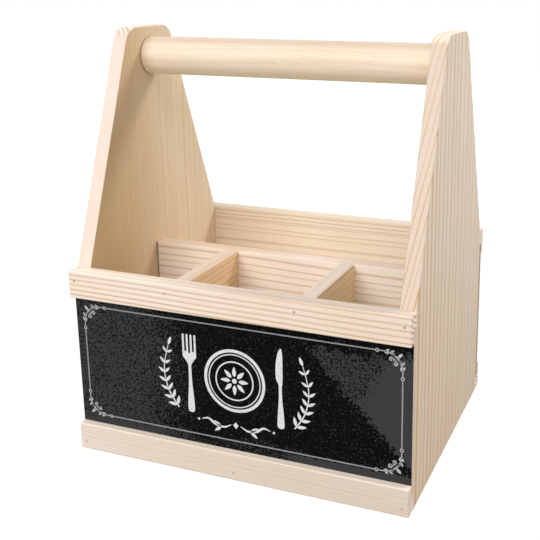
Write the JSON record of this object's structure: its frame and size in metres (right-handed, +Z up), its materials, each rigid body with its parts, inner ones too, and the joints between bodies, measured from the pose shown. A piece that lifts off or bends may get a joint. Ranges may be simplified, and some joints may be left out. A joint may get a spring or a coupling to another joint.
{
  "type": "divided wooden caddy",
  "caption": "Open wooden table caddy with tapered sides, a round carrying handle, divided cells for utensils and a dark sign panel at the front.",
  "frame": {"origin": "under the middle of the caddy, on the surface that it stands on", "axes": "+X to the right seen from the sign side, +Y from the sign side to the back, +Z up"},
  "size_m": [0.25, 0.205, 0.3],
  "materials": {
    "pine": "bare planed pine, satin",
    "plain_board": "thin bare board, matt",
    "sign_board": "thin board with a matt dark print",
    "steel": "plain steel brads"
  },
  "bodies": {
    "root": {"base_board": "pine", "side_panel_left": "pine", "side_panel_right": "pine", "front_top_rail": "pine", "front_bottom_rail": "pine", "back_top_rail": "pine", "back_bottom_rail": "pine", "front_sign_panel": "sign_board", "back_panel": "plain_board", "lengthwise_divider": "pine", "cross_divider_left": "pine", "cross_divider_right": "pine", "handle_dowel": "pine", "front_top_rail_nails": "steel", "front_bottom_rail_nails": "steel", "back_top_rail_nails": "steel", "back_bottom_rail_nails": "steel", "divider_nails": "steel", "handle_nails": "steel"}
  },
  "joints": []
}
